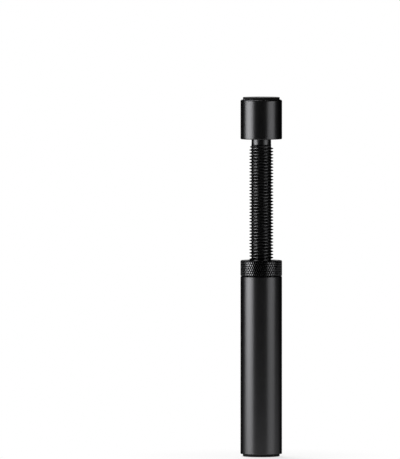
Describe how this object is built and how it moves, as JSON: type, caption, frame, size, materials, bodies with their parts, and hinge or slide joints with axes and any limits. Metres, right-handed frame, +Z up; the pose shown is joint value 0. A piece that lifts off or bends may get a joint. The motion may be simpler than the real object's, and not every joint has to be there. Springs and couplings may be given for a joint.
{
  "type": "graphics card support bracket",
  "caption": "Round screw-jack column that props up a graphics card: a base tube, a knurled nut that raises a threaded rod, and a head with a rubber pad.",
  "frame": {"origin": "centre of the foot pad's underside, where the column stands", "axes": "+Z up along the column's axis; the column is round, so X and Y are free"},
  "size_m": [0.02, 0.02, 0.1729],
  "materials": {
    "anodised_metal": "satin black anodised",
    "pad_rubber": "matt black",
    "magnet_plating": "nickel plated"
  },
  "bodies": {
    "base": {"base_tube": "anodised_metal", "base_magnet": "magnet_plating", "foot_pad": "pad_rubber"},
    "nut": {"adjusting_nut": "anodised_metal"},
    "rod": {"threaded_rod": "anodised_metal", "support_head": "anodised_metal", "top_pad": "pad_rubber"}
  },
  "joints": [
    {"name": "nut_turn", "type": "hinge", "parent": "base", "child": "nut", "pos_m": [0, 0, 0.0867], "axis": [0, 0, 1], "range_deg": [-720, 13920]},
    {"name": "rod_lift", "type": "slide", "parent": "base", "child": "rod", "axis": [0, 0, 1], "range_m": [-0.058, 0.003]}
  ],
  "couplings": [
    {"joint": "nut_turn", "follows": "rod_lift", "rad_per_m": -4188.8}
  ]
}
